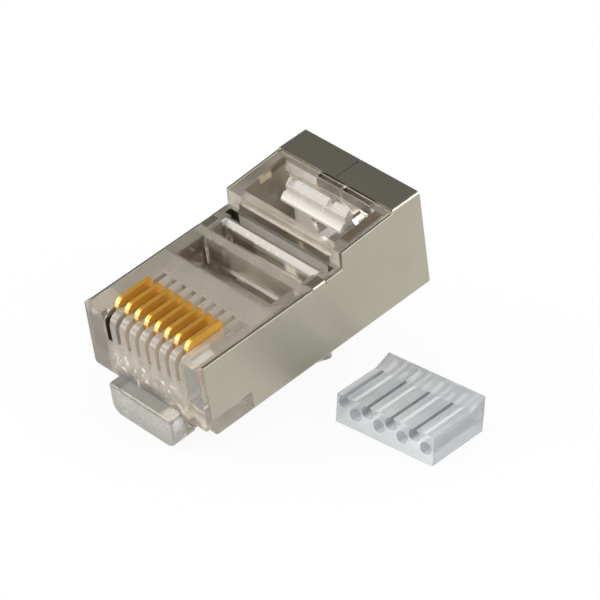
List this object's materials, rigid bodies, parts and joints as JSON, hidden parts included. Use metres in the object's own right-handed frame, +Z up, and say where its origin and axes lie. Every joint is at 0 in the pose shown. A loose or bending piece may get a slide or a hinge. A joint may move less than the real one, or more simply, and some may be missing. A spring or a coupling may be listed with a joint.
{
  "type": "rj45 modular plug",
  "caption": "Shielded clear modular plug for network cable: folded metal shield, gold blade contacts, sprung latch, and its loose wire guide lying beside it.",
  "frame": {"origin": "on the floor, in the middle of the footprint of the plug and its wire guide", "axes": "+Z up; the plug's nose points to -Y and dips, because it rests on its latch; +X is towards the wire guide"},
  "size_m": [0.0218, 0.0224, 0.0144],
  "materials": {
    "clear_plastic": "clear moulded polycarbonate, glossy",
    "guide_plastic": "clear moulded plastic with a cool tint",
    "nickel_plate": "satin nickel plate on folded sheet",
    "gold_plate": "gold plated stamped blade"
  },
  "bodies": {
    "plug": {"housing": "clear_plastic", "shield": "nickel_plate", "load_bar": "guide_plastic", "contact_1": "gold_plate", "contact_2": "gold_plate", "contact_3": "gold_plate", "contact_4": "gold_plate", "contact_5": "gold_plate", "contact_6": "gold_plate", "contact_7": "gold_plate", "contact_8": "gold_plate"},
    "latch": {"latch_lever": "clear_plastic"}
  },
  "joints": [
    {"name": "latch_flex", "type": "hinge", "parent": "plug", "child": "latch", "pos_m": [-0.00507, -0.00826, 0.00101], "axis": [1, 0, 0], "range_deg": [0, 12], "stiffness_Nm_per_rad": 0.004}
  ]
}
